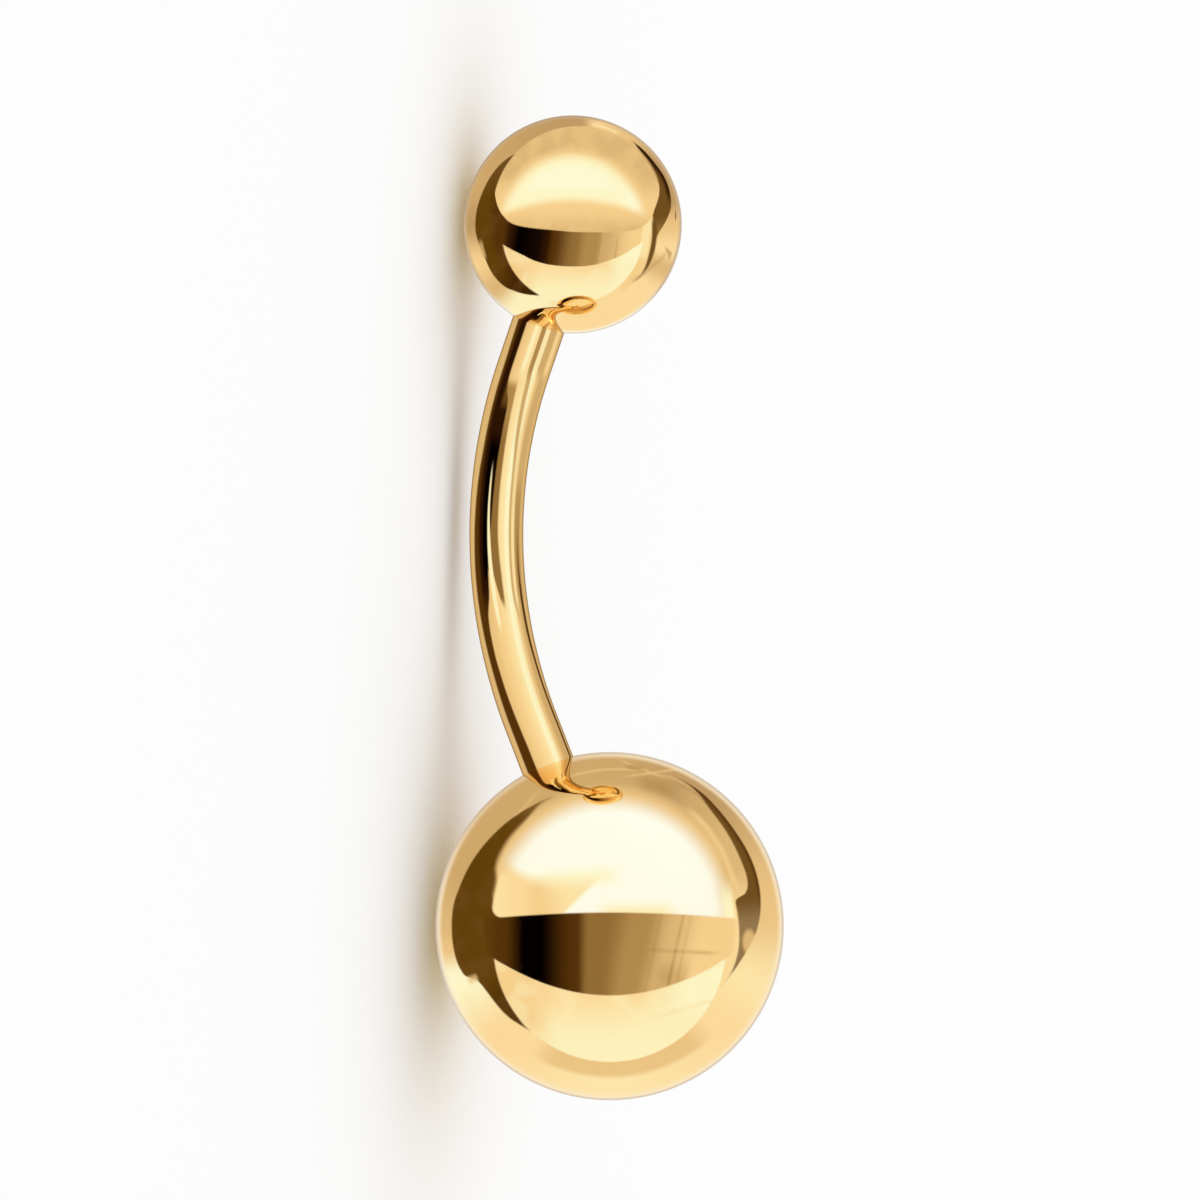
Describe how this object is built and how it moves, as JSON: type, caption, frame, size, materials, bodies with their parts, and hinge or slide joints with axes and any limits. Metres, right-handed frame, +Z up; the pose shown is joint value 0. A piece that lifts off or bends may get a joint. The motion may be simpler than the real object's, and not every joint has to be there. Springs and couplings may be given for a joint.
{
  "type": "navel ring",
  "caption": "Curved navel barbell: a bent round bar with a small polished ball screwed on one end and a larger one on the other.",
  "frame": {"origin": "centre of the box round the ring, on the surface that it lies on", "axes": "+X from the small ball to the large ball, +Z up; the bar is bent in the plane Y = 0, with its bow towards the surface"},
  "size_m": [0.0226, 0.008, 0.008],
  "materials": {
    "bar_gold": "polished gold plating on drawn wire",
    "ball_gold": "mirror-polished gold plating"
  },
  "bodies": {
    "bar": {"bar": "bar_gold"},
    "top_ball": {"top_ball": "ball_gold"},
    "bottom_ball": {"bottom_ball": "ball_gold"}
  },
  "joints": [
    {"name": "top_ball_unscrew", "type": "slide", "parent": "bar", "child": "top_ball", "axis": [-0.9565, 0, 0.2917], "range_m": [0, 0.003]},
    {"name": "bottom_ball_unscrew", "type": "slide", "parent": "bar", "child": "bottom_ball", "axis": [0.9147, 0, 0.4042], "range_m": [0, 0.003]}
  ]
}
